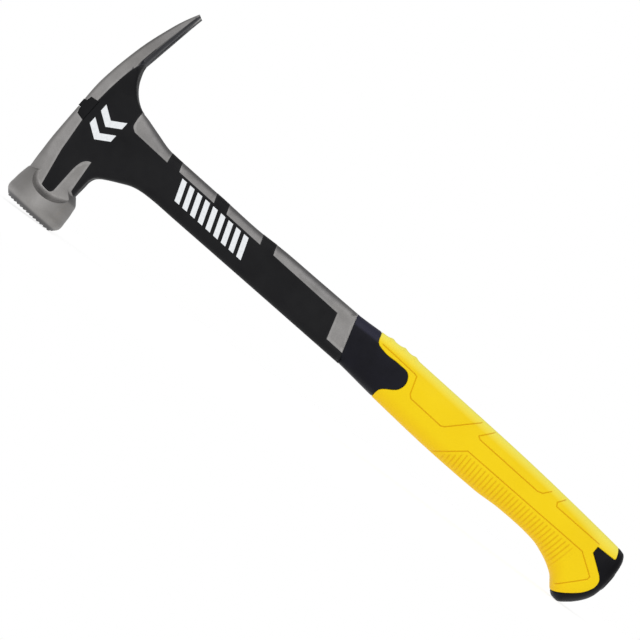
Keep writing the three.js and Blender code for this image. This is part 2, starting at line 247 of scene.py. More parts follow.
def make(name, vertices, faces):
    """An object from vertices in the hammer's frame, in mm, with its faces turned outwards."""
    vertices = np.asarray(vertices, float)
    if volume_of(vertices, faces) < 0:
        faces = [face[::-1] for face in faces]
    mesh = bpy.data.meshes.new(name)
    mesh.from_pydata(vertices.tolist(), [], faces)
    mesh.transform(place)
    mesh.validate()
    return add_object(name, mesh)


def volume_of(vertices, faces):
    """The volume inside the faces, negative if they are inside out."""
    corners = np.array([(face[0], face[i], face[i + 1]) for face in faces for i in range(1, len(face) - 1)])
    a, b, c = (vertices[corners[:, k]] for k in range(3))
    return float((a * np.cross(b, c)).sum()) / 6


def cut(body, tool, operation="DIFFERENCE"):
    """Cuts, joins or intersects a body with a tool, which is used up."""
    modifier = body.modifiers.new("cut", "BOOLEAN")
    modifier.operation = operation
    modifier.solver = "EXACT"
    modifier.object = tool
    bpy.context.view_layer.update()
    evaluated = body.evaluated_get(bpy.context.evaluated_depsgraph_get())
    result = bpy.data.meshes.new_from_object(evaluated)
    body.modifiers.clear()
    old = body.data
    body.data = result
    result.name = body.name
    bpy.data.meshes.remove(old)
    bpy.data.objects.remove(tool)


def area_of(ring):
    """The area inside a ring, negative if it runs clockwise."""
    x, y = ring[:, 0], ring[:, 1]
    return 0.5 * float((x * np.roll(y, -1) - np.roll(x, -1) * y).sum())


def circle(middle, radius, step):
    """Points of a circle, one every `step` degrees."""
    angle = np.radians(np.arange(0, 360, step))
    return np.column_stack([middle[0] + radius * np.cos(angle), middle[1] + radius * np.sin(angle)])


def across_axis(ring, axis, level):
    """A flat ring set in space, square to an axis (0 for x, 1 for y, 2 for z) at the given level."""
    return np.insert(np.asarray(ring, float), axis, level, axis=1)


def prism(ring, axis, low, high):
    """A flat ring, which may be concave, pushed along an axis from low to high."""
    count = len(ring)
    sides = [(i, count + i, count + (i + 1) % count, (i + 1) % count) for i in range(count)]
    ends = [tuple(range(count)), tuple(range(count, 2 * count))[::-1]]
    both = [across_axis(ring, axis, level) for level in (low, high)]
    return make("tool", np.concatenate(both), sides + ends)


def loft(rings):
    """A closed body through rings of the same count, with a fan over each end."""
    rings = np.asarray(rings, float)
    rows, count = rings.shape[:2]
    vertices = np.concatenate([rings.reshape(-1, 3), rings[:1].mean(1), rings[-1:].mean(1)])
    i = np.arange(count)
    j = (i + 1) % count
    last = (rows - 1) * count
    faces = []
    for row in range(0, last, count):
        faces += np.column_stack([row + i, row + j, row + count + j, row + count + i]).tolist()
    faces += np.column_stack([j, i, np.full(count, rows * count)]).tolist()
    faces += np.column_stack([last + i, last + j, np.full(count, rows * count + 1)]).tolist()
    return make("tool", vertices, faces)


# -------- the forged blank, seen from the side

CHEEK_HALF = 11.3  # half the head's width between its cheeks
CLAW_TIP = 69.6
UNDER_TIP = (18.9, 69.1)  # the tines' lower edge is straight, from here
UNDER_ROOT = (13.5, 27.6)  # to here
POLL_Z = -65.0  # where the blank ends, inside the bell
COLLAR_TOP = (198.2, 3.5)  # the joint between shank and handle, on the spine
COLLAR_FRONT = (208.4, -24.9)  # and on the front

crown_line = curve([(7.0, POLL_Z), (4.4, -63), (2.8, -60), (2.4, -56), (2.0, -47.8), (1.4, -38), (1.2, -30),
        (0.9, -14.4), (0.7, 3.4), (2.1, 15.3), (4.1, 26.6), (6.4, 37.3), (10.0, 50), (13.9, 61.3),
        (16.4, 66.8), (17.8, CLAW_TIP)])
tip_line = polyline([(17.8, CLAW_TIP), UNDER_TIP], 0.3)
claw_under = polyline([UNDER_TIP, UNDER_ROOT])
throat_line = curve([UNDER_ROOT, (13.9, 25), (16, 19), (19.8, 13.6), (24, 9.9), (28.1, 7.6), (35.4, 5.9),
        (45, 3.6), (56, 1.2), (62, 0.9), (70, 1.0)])
spine_line = curve([(70, 1.0), (100, 1.1), (129, 1.3), (138, 2.0), (170, 2.9), COLLAR_TOP])
stub_top, stub_front = (199.28, 0.5), (207.68, -22.9)  # a thinner stub enters the handle between these
stub_line = polyline([COLLAR_TOP, stub_top, (202.7, 0.5), (211.4, -22.7), stub_front, COLLAR_FRONT])
front_line = curve([COLLAR_FRONT, (150, -25.6), (84.6, -26.5), (66, -26.8), (60.8, -27.2), (54, -28.6),
        (46, -32.4), (39.8, -35.8), (37, -37.6), (34.7, -39.9), (33.5, -43), (33.3, -47),
        (33.3, POLL_Z)])
poll_end = polyline([(33.3, POLL_Z), (7.0, POLL_Z)])
blank_outline = join(crown_line, tip_line, claw_under, throat_line, spine_line, stub_line,
                     front_line, poll_end)[:-1]

# The radius that rounds the crown's edges, by height z, and that of edges which stay nearly sharp.
crown_round = smooth([(POLL_Z, 11.1), (-58, 8.8), (-50, 4.8), (-40, 3.0), (-30, 2.4), (40, 2.0), (60, 1.2),
        (CLAW_TIP, 0.4)])
NEARLY_SHARP = 0.3


def past_joint(points):
    """How far along x a point is past the slanted joint between shank and handle."""
    lean = (COLLAR_FRONT[0] - COLLAR_TOP[0]) / (COLLAR_FRONT[1] - COLLAR_TOP[1])
    return points[:, 0] - COLLAR_TOP[0] - (points[:, 1] - COLLAR_TOP[1]) * lean


def edge_radius(points):
    """The radius that rounds the blank's edges, at points of its outline."""
    x, z = points.T
    throat_and_spine = 2.2 + 3.0 * ramp(x, 20, 45)
    front = 3.0 + 1.6 * ramp(x, 34, 60)
    poll_front = 3.0 + 3.0 * ramp(-z, 48, 54)
    radius = np.where(z > -12, throat_and_spine, front)
    radius = np.where(z > 27, 0.5, radius)
    radius = np.where((z < -46) & (x < 40), poll_front, radius)
    radius = np.where((x < 18.1) & (x < 12 + 0.12 * z), crown_round(z), radius)
    return np.where((z < POLL_Z + 0.1) | (past_joint(points) > -0.05), NEARLY_SHARP, radius)


# Half the width across: of the head, by height z, and of neck and shank, by x. The smaller one holds.
head_half = smooth([(-66, CHEEK_HALF), (0, CHEEK_HALF), (8, 12.0), (20, 14.4), (34, 16.5), (50, 16.2),
        (CLAW_TIP, 14.6)])
neck_half = smooth([(12, 17.5), (20, 14.2), (27, 11.9), (34, 11.1), (50, 9.6), (66, 8.0), (100, 6.8),
        (212, 6.8)])
STUB_SUNK = 1.6  # how much thinner the shank is where the collar hides it

# The tines' undersides: a slanted bevel below a ridge, a narrow flat, and a steep strip down to the edge.
BEVEL_START = 20.5  # the height where the bevel begins,
BEVEL_FULL = 27  # and where it is complete
BEVEL_SLOPE = 0.95
STRIP_SLOPE = 2.6
STRIP_WIDE = 1.15
FLAT_WIDE = 0.45
ridge_line = curve([(10.7, 22.4), (10.9, 26.6), (11.9, 34), (14.0, 46.4), (16.1, 58.5), (17.7, 66.0)])
ridge_at = smooth([(z, x) for x, z in ridge_line[::4]] + [(CLAW_TIP, 18.6)])


def under_at(z):
    """The x of the tines' lower edge at a height z."""
    rise = z - UNDER_ROOT[1]
    return UNDER_ROOT[0] + rise * (UNDER_TIP[0] - UNDER_ROOT[0]) / (UNDER_TIP[1] - UNDER_ROOT[1])


def beside_under(distance):
    return polyline([(under_at(z) - distance, z) for z in (28.6, 66.0)])


def half_thickness(points):
    """Half the blank's width at points of its side, before its edges are rounded."""
    x, z = points.T
    half = np.minimum(head_half(z), neck_half(x))
    ridge, under = ridge_at(z), under_at(z)
    slant = np.clip(np.minimum(x, under - STRIP_WIDE - FLAT_WIDE) - ridge, 0, None)
    strip = np.clip(x - np.maximum(under - STRIP_WIDE, ridge), 0, None)
    bevel = (BEVEL_SLOPE * slant + STRIP_SLOPE * strip) * ramp(z, BEVEL_START, BEVEL_FULL)
    half = half - np.where(x < 20, bevel, 0)
    return half - STUB_SUNK * (past_joint(points) > 0.1)


def crease_lines():
    """Lines where the blank's side bends or steps, for the mesh to follow."""
    joint = polyline([stub_top, stub_front])
    return [ridge_line, beside_under(STRIP_WIDE), beside_under(STRIP_WIDE + FLAT_WIDE),
            joint[1:-1], joint[1:-1] + (0.2, 0)]


# -------- where the black jacket lies

WINDOW_LOW = -4.5  # the steel windows run from here to past the spine
WINDOW_TOP = 10
SLANT = -0.41  # how far a window's ends and a printed bar lean in x for each mm of z


def window(start, end):
    lean = SLANT * (WINDOW_TOP - WINDOW_LOW)
    return polyline([(start, WINDOW_LOW), (end, WINDOW_LOW), (end + lean, WINDOW_TOP),
                     (start + lean, WINDOW_TOP), (start, WINDOW_LOW)])


cheek_window = join(curve([(29.5, 13), (30.9, 5.1), (31.3, 0.6), (32.3, -2.8), (34.9, -4.7)], 0.4),
        polyline([(34.9, -4.7), (59.9, -5.1), (56.4, 11), (29.5, 13)]))
collar_window = polyline([(140, -3.9), (189.1, -3.9), (194.4, -19), (230, -19.1), (230, 10), (134.3, 10),
        (140, -3.9)])
windows = [cheek_window, window(68.6, 95), window(104.6, 130.4), collar_window]

jacket_outline = join(
    polyline([(15.2, -61.9), (10.5, -40.1), (8.0, -19.6), (7.2, -5.1), (7.7, 4.0)]),
    curve([(7.7, 4.0), (8.3, 9.4), (9.7, 18.3), (11.0, 22.9), (13.5, 27.3)]),
    polyline([(13.5, 27.3), (30, 40), (240, 20), (240, -45), (60, -45), (36, -57.6), (33.9, -55.9),
              (30.4, -53.6)]),
    polyline([(30.4, -53.6), (28.0, -33.9)]),
    curve([(28.0, -33.9), (26.4, -34.5), (24.5, -36.4), (23.2, -39.8), (22.7, -44)], 0.4),
    polyline([(22.7, -44), (22.7, -60.2)]),
    curve([(22.7, -60.2), (21.5, -62.0), (19.4, -62.4), (15.2, -61.9)], 0.4))


def in_jacket(points):
    found = inside(points, jacket_outline)
    for outline in windows:
        found &= ~inside(points, outline)
    return found


# -------- surfaces over a side outline

RIM_COLUMNS = 8  # faces across the rim between the two sides
ROUND_ANGLES = (22, 40, 56, 72, 90)  # where a rounded edge gets its rows of points, in degrees
ON_LINE = 0.25  # mm; loose points nearer to a line than this are dropped


def side_mesh(outline, loops, lines, loose):
    """Triangles that fill a side outline, with edges along the given closed loops and open lines."""
    points, edges = [], []
    closed_lines = [(line, True) for line in [outline] + loops]
    for line, closed in closed_lines + [(line, False) for line in lines]:
        start = len(points)
        count = len(line)
        points.extend(line.tolist())
        edges.extend((start + i, start + (i + 1) % count) for i in range(count if closed else count - 1))
    loose = loose[inside(loose, outline)]
    points.extend(loose.tolist())
    flat, _, triangles, origin_of, _, _ = delaunay_2d_cdt([Vector(p) for p in points], edges, [], 0, 1e-5)
    flat = np.array([points[where[0]] if where else tuple(p) for p, where in zip(flat, origin_of)])
    triangles = np.array([tuple(t) for t in triangles])
    triangles = triangles[inside(flat[triangles].mean(1), outline)]
    a, b, c = flat[triangles[:, 0]], flat[triangles[:, 1]], flat[triangles[:, 2]]
    area = np.cross(b - a, c - a)
    triangles = np.where(area[:, None] < 0, triangles[:, ::-1], triangles)[np.abs(area) > 1e-9]
    used = np.unique(triangles)
    renumber = np.full(len(flat), -1)
    renumber[used] = np.arange(len(used))
    return flat[used], renumber[triangles]


def two_sided(flat, triangles, half, chosen):
    """The closed surface that the triangles make at y = -half and y = half.

    Returns its vertices, its faces, which faces are chosen, and the flat point each vertex stands on.
    """
    count = len(flat)
    points = np.arange(count)
    far = np.where(half > 0, points + count, points)
    levels = np.arange(RIM_COLUMNS + 1) / RIM_COLUMNS * 2 - 1
    columns = np.array([points] + [points + count * (k + 1) for k in range(1, RIM_COLUMNS)] + [far])
    columns[:, half == 0] = points[half == 0]
    stands_on = np.tile(points, RIM_COLUMNS + 1)
    offset = np.concatenate([-half, half] + [half * level for level in levels[1:-1]])
    vertices = np.column_stack([flat[stands_on, 0], offset, flat[stands_on, 1]])
    faces, picked, owner = [], [], {}
    for (a, b, c), pick in zip(triangles.tolist(), chosen.tolist()):
        for edge in ((a, b), (b, c), (c, a)):
            owner[edge] = pick
        if half[a] == 0 and half[b] == 0 and half[c] == 0:
            continue
        faces.append((a, b, c))
        faces.append((int(far[c]), int(far[b]), int(far[a])))
        picked += [pick, pick]
    for (a, b), pick in owner.items():
        if (b, a) not in owner:
            for k in range(RIM_COLUMNS):
                rim = tuple(dict.fromkeys(columns[[k, k, k + 1, k + 1], [b, a, a, b]].tolist()))
                if len(rim) > 2:
                    faces.append(rim)
                    picked.append(pick)
    return vertices, faces, np.array(picked), stands_on


def vertex_normals(vertices, faces):
    """Each vertex's normal, from the triangles and quads around it."""
    normal = np.zeros_like(vertices)
    for size in (3, 4):
        some = np.array([f for f in faces if len(f) == size])
        if len(some):
            a, b, c = vertices[some[:, 0]], vertices[some[:, 1]], vertices[some[:, 2]]
            way = np.cross(b - a, c - a)
            for k in range(size):
                np.add.at(normal, some[:, k], way)
    return normal / np.maximum(np.linalg.norm(normal, axis=1), 1e-12)[:, None]


def border_edges(faces, chosen):
    """The edges of the chosen faces that have an unchosen face on their other side."""
    picked = {edge: pick for face, pick in zip(faces, chosen) for edge in zip(face, face[1:] + face[:1])}
    return [(a, b) for (a, b), pick in picked.items() if pick and not picked[(b, a)]]


def layered(name, surface, chosen, level, sunk):
    """The closed surface moved out by `level`, with its chosen faces moved out by `sunk` instead."""
    vertices, faces, normal = surface
    count = len(vertices)
    moved = [tuple(v + count for v in face) if pick else face for face, pick in zip(faces, chosen)]
    moved += [(a, b, b + count, a + count) for a, b in border_edges(faces, chosen)]
    return make_pruned(name, np.concatenate([vertices + normal * level, vertices + normal * sunk]), moved)


def shell(name, surface, chosen, top, bottom):
    """A closed shell over the chosen faces of a closed surface, from `top` down to `bottom`."""
    vertices, faces, normal = surface
    count = len(vertices)
    kept = []
    for face, pick in zip(faces, chosen):
        if pick:
            kept.append(face)
            kept.append(tuple(v + count for v in reversed(face)))
    kept += [(b, a, a + count, b + count) for a, b in border_edges(faces, chosen)]
    return make_pruned(name, np.concatenate([vertices + normal * top, vertices + normal * bottom]), kept)


def make_pruned(name, vertices, faces):
    """An object without the unused vertices, and which point of the surface each vertex came from."""
    used = sorted(set(v for face in faces for v in face))
    renumber = {old: new for new, old in enumerate(used)}
    made = make(name, vertices[used], [tuple(renumber[v] for v in face) for face in faces])
    return made, np.array(used) % (len(vertices) // 2)


def paint(thing, **values):
    """Stores numbers for each vertex of a piece, for its material to read."""
    for name, value in values.items():
        layer = thing.data.attributes.new(name, "FLOAT", "POINT")
        layer.data.foreach_set("value", np.asarray(value, np.float32))


def beside(line, distances):
    """Points at the given distances on both sides of a line."""
    ahead = np.gradient(line, axis=0)
    ahead /= np.maximum(np.linalg.norm(ahead, axis=1), 1e-9)[:, None]
    normal = np.column_stack([ahead[:, 1], -ahead[:, 0]])
    return np.concatenate([line + normal * d for distance in distances for d in (distance, -distance)])


def filling(outline, spacing):
    """Points of a triangular grid inside an outline."""
    low, high = outline.min(0), outline.max(0)
    xs = np.arange(low[0], high[0], spacing)
    zs = np.arange(low[1], high[1], spacing * 0.866)
    grid = np.array([(x + (spacing / 2 if k % 2 else 0), z) for k, z in enumerate(zs) for x in xs])
    return grid[inside(grid, outline)]


def away_from(points, lines, clearance):
    """The points that keep their distance from every line."""
    for line in lines:
        points = points[nearest(points, line)[0] > clearance]
    return points


def rounded_plate(outline, radius, thickness, loops, lines, spacing, in_part):
    """The surface of a plate with rounded edges (vertices, faces, normals), and which faces are in a part.

    radius is per point of the outline; thickness gives half the width at flat points, and in_part
    says which of them are in the part.
    """
    closed = np.concatenate([outline, outline[:1]])
    ahead = np.roll(outline, -1, 0) - np.roll(outline, 1, 0)
    normal = np.column_stack([ahead[:, 1], -ahead[:, 0]]) / np.linalg.norm(ahead, axis=1)[:, None]
    if area_of(outline) > 0:
        normal = -normal
    loose = []
    for angle in ROUND_ANGLES:
        reach = radius * (1 - math.cos(math.radians(angle)))
        offset = outline + normal * reach[:, None]
        gap, _ = nearest(offset, closed)
        loose.append(offset[(gap > 0.9 * reach) & (reach > 0.1)])
    grid = filling(outline, spacing)
    gap, which = nearest(grid, closed)
    loose.append(grid[gap > 1.05 * radius[which % len(radius)] + 0.3])
    rings = [np.concatenate([loop, loop[:1]]) for loop in loops]
    loose = away_from(np.concatenate(loose), rings + lines, ON_LINE)
    flat, triangles = side_mesh(outline, loops, lines, loose)
    gap, which = nearest(flat, closed)
    gap[gap < 1e-3] = 0
    half = thickness(flat)
    r = np.minimum(radius[which % len(radius)], half - 0.1)
    half -= r - np.sqrt(np.maximum(r ** 2 - np.maximum(r - gap, 0) ** 2, 0))
    vertices, faces, picked, _ = two_sided(flat, triangles, half, in_part(flat[triangles].mean(1)))
    return (vertices, faces, vertex_normals(vertices, faces)), picked


# -------- the forging, its jacket and its print

BLANK_GRID = 1.3  # mm between points on the blank's flats
JACKET_PROUD = 0.12  # how far the jacket stands out from the bare steel
JACKET_DEEP = 0.5
STEEL_SUNK = 0.6  # how far the steel under the jacket lies below the bare steel
INK_PROUD = 0.05  # over the jacket
INK_DEEP = 0.1


def without_end(line):
    return line[:-1] if np.allclose(line[0], line[-1]) else line


def blank_surface():
    loops = [without_end(line) for line in [jacket_outline] + windows]
    return rounded_plate(blank_outline, edge_radius(blank_outline), half_thickness, loops, crease_lines(),
                         BLANK_GRID, in_jacket)


CHEVRON_X = 20.4  # the middle of the chevrons on the cheek
CHEVRON_TIPS = (-13.5, -23.0)
CHEVRON_HALF = 8.0
CHEVRON_ARM = 4.6
CHEVRON_POINT = 5.2
BARS = 9  # the row of bars on the shank
FIRST_BAR = 77.5
BAR_PITCH = 5.9
BAR_WIDTH = 3.4
BAR_LOW = -18.5
BAR_TOP = -6.0


def print_outlines():
    """The outlines of the two chevrons and of the bars."""
    left, right = CHEVRON_X - CHEVRON_HALF, CHEVRON_X + CHEVRON_HALF
    for tip in CHEVRON_TIPS:
        rise = tip + CHEVRON_POINT
        yield [(CHEVRON_X, tip), (right, rise), (right, rise + CHEVRON_ARM),
               (CHEVRON_X, tip + CHEVRON_ARM), (left, rise + CHEVRON_ARM), (left, rise)]
    lean = SLANT * (BAR_TOP - BAR_LOW)
    for i in range(BARS):
        x = FIRST_BAR + i * BAR_PITCH
        yield [(x, BAR_LOW), (x + BAR_WIDTH, BAR_LOW), (x + BAR_WIDTH + lean, BAR_TOP), (x + lean, BAR_TOP)]


# -------- the bell and its milled face

BELL_SEGMENTS = 200
BELL_ROOT = -53  # where the bell ends, inside the blank
TOOTH_PITCH = 2.45
TOOTH_DEPTH = 1.1
TEETH_ACROSS = 13
MOUTH_HALF = 0.95  # half the width of the grooves between the teeth, at their mouth,
MOUTH_BELOW = 0.2  # which is this far below the face,
ROOT_HALF = 0.25  # and at their root
SCOOP_REACH = 5.1  # from the flat cheek to the bell's surface, seen from the side
SCOOP_RISE = 7.2  # and from the front

# The inner edge of the hollow, where the flat cheek starts to rise into the bell.
scoop_edge = join(curve([(5.8, -42), (6.8, -50), (8.7, -55.4), (10.6, -58.6), (13.4, -60.6),
        (17.6, -61.4), (22.6, -61.3), (27.0, -60.4), (31.4, -58.4), (35.4, -54.6),
        (39.5, -42)], 0.5),
        polyline([(39.5, -42), (5.8, -42)], 2))[:-1]


# The bell's radius and height, from the middle of the face over the rim and the back of the bell.
bell_profile = join(polyline([(0.01, FACE_Z), (15.5, FACE_Z)], 3),
        polyline([(15.5, FACE_Z), (15.9, -79.1), (18.7, -76.0)], 0.5),
        curve([(18.7, -76.0), (19.1, -75.2), (19.35, -74.2), (19.2, -70), (18.9, -66),
        (18.3, -62), (17.9, -59.6)], 0.6),
        curve([(17.9, -59.6), (17.5, -58.8), (15.6, -56.4), (14.6, -55.2), (12.5, -53.8),
        (10, BELL_ROOT)], 0.5),
        polyline([(10, BELL_ROOT), (0.01, BELL_ROOT)], 3))


def bell():
    angle = np.arange(BELL_SEGMENTS) / BELL_SEGMENTS * 2 * np.pi
    rings = np.empty((len(bell_profile), BELL_SEGMENTS, 3))
    rings[..., 0] = FACE_X + bell_profile[:, :1] * np.cos(angle)
    rings[..., 1] = bell_profile[:, :1] * np.sin(angle)
    rings[..., 2] = bell_profile[:, 1:]
    body = loft(rings)
    for tool in (tooth_grooves(False), tooth_grooves(True), scoop(1), scoop(-1)):
        cut(body, tool)
    return body


def scoop(side):
    """What is milled away beside one cheek, on side 1 or -1: a floor that rises to the bell's surface."""
    rings = []
    for share in np.linspace(0, 1.25, 16):
        y = CHEEK_HALF - 0.1 + SCOOP_RISE * share ** 2
        rings.append(across_axis(grown(scoop_edge, SCOOP_REACH * share), 1, side * y))
    rings.append(rings[-1] + (0, side * 20, 0))
    return loft(rings)


def tooth_grooves(turned):
    """A tool of parallel tapered bars across the face, along y or, turned, along x."""
    mouth, root = FACE_Z - MOUTH_BELOW, FACE_Z + TOOTH_DEPTH
    corners = ((-MOUTH_HALF, mouth), (MOUTH_HALF, mouth), (ROOT_HALF, root), (-ROOT_HALF, root))
    quads = ((0, 1, 2, 3), (7, 6, 5, 4), (0, 4, 5, 1), (1, 5, 6, 2), (2, 6, 7, 3), (3, 7, 4, 0))
    vertices, faces = [], []
    for i in range(TEETH_ACROSS + 1):
        middle = (i - TEETH_ACROSS / 2) * TOOTH_PITCH
        faces += [tuple(len(vertices) + v for v in quad) for quad in quads]
        for end in (-30.0, 30.0):
            for offset, z in corners:
                x, y = (end, middle + offset) if turned else (middle + offset, end)
                vertices.append((FACE_X + x, y, z))
    return make("tool", vertices, faces)


# -------- cuts in the head

SLOT_ROOT = 31  # the height where the slot between the tines starts
SLOT_ROOT_HALF = 0.9
SLOT_TIP_HALF = 5.2
NAIL_X = -0.6  # the nail groove's axis, just above the crown
NAIL_Z = -12.4  # the height where the groove ends, and the magnet's middle
NAIL_GROOVE = 2.3  # its radius
MAGNET_POCKET = 3.3  # the pocket's radius
POCKET_ENDS = (2.3, 9.0)
INSERT_GAP = 0.15
INSERT_HALF = 11.9
INSERT_ROUND = 0.45

insert_outline = polyline([(0.7, -14.4), (2.3, -14.4), (2.6, -16), (3.4, -18.1), (8.3, -19.2), (8.3, -5.4),
        (3.1, -6.2), (2.6, -9.2), (0.7, -9.6), (0.7, -14.4)], 0.5)[:-1]


def claw_slot():
    """The V between the tines, with a round root."""
    widening = (SLOT_TIP_HALF - SLOT_ROOT_HALF) / (CLAW_TIP - SLOT_ROOT)
    top = CLAW_TIP + 4
    top_half = SLOT_ROOT_HALF + (top - SLOT_ROOT) * widening
    turn_down = np.radians(np.arange(0, 181, 15))
    root = [(SLOT_ROOT_HALF * math.cos(a), SLOT_ROOT - SLOT_ROOT_HALF * math.sin(a)) for a in turn_down]
    ring = [(top_half, top)] + root + [(-top_half, top)]
    return prism(ring, 0, -20, 40)


def nail_groove():
    ring = circle((NAIL_X, 0), NAIL_GROOVE, 12)
    return loft([across_axis(ring, 2, z) for z in (-95, NAIL_Z)])


def magnet_pocket():
    ring = circle((0, NAIL_Z), MAGNET_POCKET, 10)
    return loft([across_axis(ring, 0, x) for x in POCKET_ENDS])


def insert_block():
    surface, _ = rounded_plate(insert_outline, np.full(len(insert_outline), INSERT_ROUND),
                               lambda points: np.full(len(points), INSERT_HALF), [], [], 1.2,
                               lambda points: np.zeros(len(points), bool))
    return make("insert", surface[0], surface[1])


def grown(outline, distance):
    """An outline moved outwards along its edges."""
    ring = np.asarray(outline, float)
    side = 1 if area_of(ring) > 0 else -1
    before = ring - np.roll(ring, 1, 0)
    after = np.roll(ring, -1, 0) - ring
    before /= np.linalg.norm(before, axis=1)[:, None]
    after /= np.linalg.norm(after, axis=1)[:, None]
    reach = side * distance / (1 + (before * after).sum(1))
    way = before + after
    return ring + np.column_stack([way[:, 1], -way[:, 0]]) * reach[:, None]


# -------- the handle

SECTION_POWER = 2.7  # of the superellipse that the handle's section follows
EDGE_ANGLES = (88.5, 86, 82.5, 78, 72.5, 66, 58.5, 50)  # rows of points near the spine and the front
HANDLE_GRID = 0.85  # mm between points elsewhere
LINE_ROWS = (0.28, 0.56, 0.8)  # mm, the rows of points beside grooves and borders
GROOVE_DEPTH = 0.42
GROOVE_HALF = 0.55
RIB_PITCH = 2.7
RIB_DEPTH = 0.42
FIRST_RIB = 284.7
RIBS = 36
RIB_PARTS = (0, 0.1, 0.26, 0.5, 0.74, 0.9)  # rows of points on each rib, as shares of the pitch
RIB_MIDDLE = -19.0
RIB_LEAN_START = -0.946  # a rib leans by RIB_LEAN_START + RIB_LEAN_GROWTH * x
RIB_LEAN_GROWTH = 0.00296
EDGE_ROLL = 0.5  # the radius of the sleeve's moulded edge
COLLAR_SUNK = 0.15  # how far the bare core lies below the sleeve's surface
CAP_SUNK = 0.04
OVERMOULD = 1.5  # the thickness of sleeve and cap
NUBS = (222.7, 231.7, 239.6)  # the three thumb nubs on the spine
NUB_HEIGHT = 0.75
DOT_HEIGHT = 0.45  # the small dot beside each nub

# The handle's front edge and spine, as heights z by x, and half its width across.
handle_front = smooth([(196, -24.6), (208.4, -24.9), (235, -26.2), (281, -27.3), (314, -26.8),
        (332, -25.2), (346, -24.9), (357.5, -25.5), (367.7, -28.1), (378.3, -33.3),
        (385, -40.2), (388, -42.1), (391.5, -42.3), (396.3, -39.1), (402.9, -31.4),
        (405.4, -26), (LENGTH, -21)])
handle_back = smooth([(196, 3.6), (215.6, 5.2), (238, 6.8), (302, 6.7), (398.3, 3.9), (402.3, 3.2),
        (404.5, 0.5), (405.9, -4), (LENGTH, -8)])
handle_half = smooth([(196, 7.1), (205, 8), (214, 9.6), (240, 13.2), (290, 14.2), (340, 13), (375, 14.6),
        (394, 15.4), (401, 14.6), (404.5, 12.5), (LENGTH, 9)])

sleeve_start = curve([(212, 12), (215.6, 4.6), (217.9, -0.7), (223.9, -2.4), (235.3, -2), (241.7, -2.7),
        (243.2, -4.1), (244.9, -9.6), (244.3, -12), (235.4, -21.6), (235.2, -26),
        (235.1, -34)], 0.5)
cap_start = join(polyline([(382, -50), (384.8, -40.1)], 0.5),
        curve([(384.8, -40.1), (386.9, -39), (391.8, -35.4), (400.5, -25.7), (401.9, -21.5),
        (401.2, -17.5), (399, -15.2)], 0.5),
        polyline([(399, -15.2), (387.8, -7.9), (387.8, -3.5), (397.4, -2.9)], 0.5),
        curve([(397.4, -2.9), (400, -2.4), (399.4, 0.9), (398, 3.8), (396, 12)], 0.5))

panel_line = polyline([(280.8, -27.3), (296.5, -12.7), (382.5, -11.5), (395.4, -19.4), (395.4, -21.3),
        (384, -35.4)], 0.5)
grooves = [
    polyline([(220.4, 0.3), (245.2, -0.1), (246.7, -0.6), (250.5, -10.4), (252.5, -12.2), (275.4, -12.4),
              (277.4, -11.3), (292, 5)], 0.5),
    polyline([(302, 6.6), (295.4, -2.1), (297.4, -3.2), (341.2, -3.1), (344.2, -2), (347.4, 2.2)], 0.5),
    polyline([(356.7, 4.1), (353.8, -0.2), (355.1, -2.3), (387, -1.9)], 0.5),
    panel_line]


def along_curve(line, start, end, spacing=0.7):
    """Evenly spaced points on z = line(x)."""
    x = np.linspace(start, end, 4000)
    run = np.concatenate([[0], np.cumsum(np.hypot(np.diff(x), np.diff(line(x))))])
    at = np.interp(np.linspace(0, run[-1], round(run[-1] / spacing) + 1), run, x)
    return np.column_stack([at, line(at)])


def across_share(points):
    """-1 on the front edge of the handle, 1 on its spine."""
    low, high = handle_front(points[:, 0]), handle_back(points[:, 0])
    return np.clip((2 * points[:, 1] - low - high) / (high - low), -1, 1)


def handle_width(points):
    """Half the handle's width at points of its side."""
    share = np.abs(across_share(points))
    half = handle_half(points[:, 0]) * (1 - share ** SECTION_POWER) ** (1 / SECTION_POWER)
    return np.where(share > 1 - 2e-5, 0, half)


def rib_phase(points):
    """How many ribs a point is past the first one."""
    rise = points[:, 1] - RIB_MIDDLE
    start = (points[:, 0] - RIB_LEAN_START * rise) / (1 + RIB_LEAN_GROWTH * rise)
    return (start - FIRST_RIB) / RIB_PITCH


def rib_area(points):
    """1 where the ribs are, 0 where they aren't, and between at their ends."""
    outline = np.concatenate([panel_line, [(385, -60), (281, -60)]])
    gap, _ = nearest(points, panel_line)
    phase = rib_phase(points)
    return (inside(points, outline) * ramp(gap, 1.1, 2.4) * ramp(phase, -0.2, 0.6)
            * (1 - ramp(phase, RIBS - 3, RIBS)) * (1 - ramp(-across_share(points), 0.9, 1.0)))


def edge_rows(line):
    """Rows of points beside the handle's spine or front, closer together towards the edge."""
    x = line[:, 0]
    middle = (handle_front(x) + handle_back(x)) / 2
    for angle in EDGE_ANGLES:
        share = math.sin(math.radians(angle)) ** (2 / SECTION_POWER)
        yield np.column_stack([x, middle + (line[:, 1] - middle) * share])


def rib_rows():
    """Points along the ribs."""
    rows = []
    for k in range(RIBS + 1):
        for part in RIB_PARTS:
            u = FIRST_RIB + (k + part) * RIB_PITCH
            rows += [(u + (RIB_LEAN_START + RIB_LEAN_GROWTH * u) * (z - RIB_MIDDLE), z)
                     for z in np.arange(-42, -10, 0.9)]
    return np.array(rows)


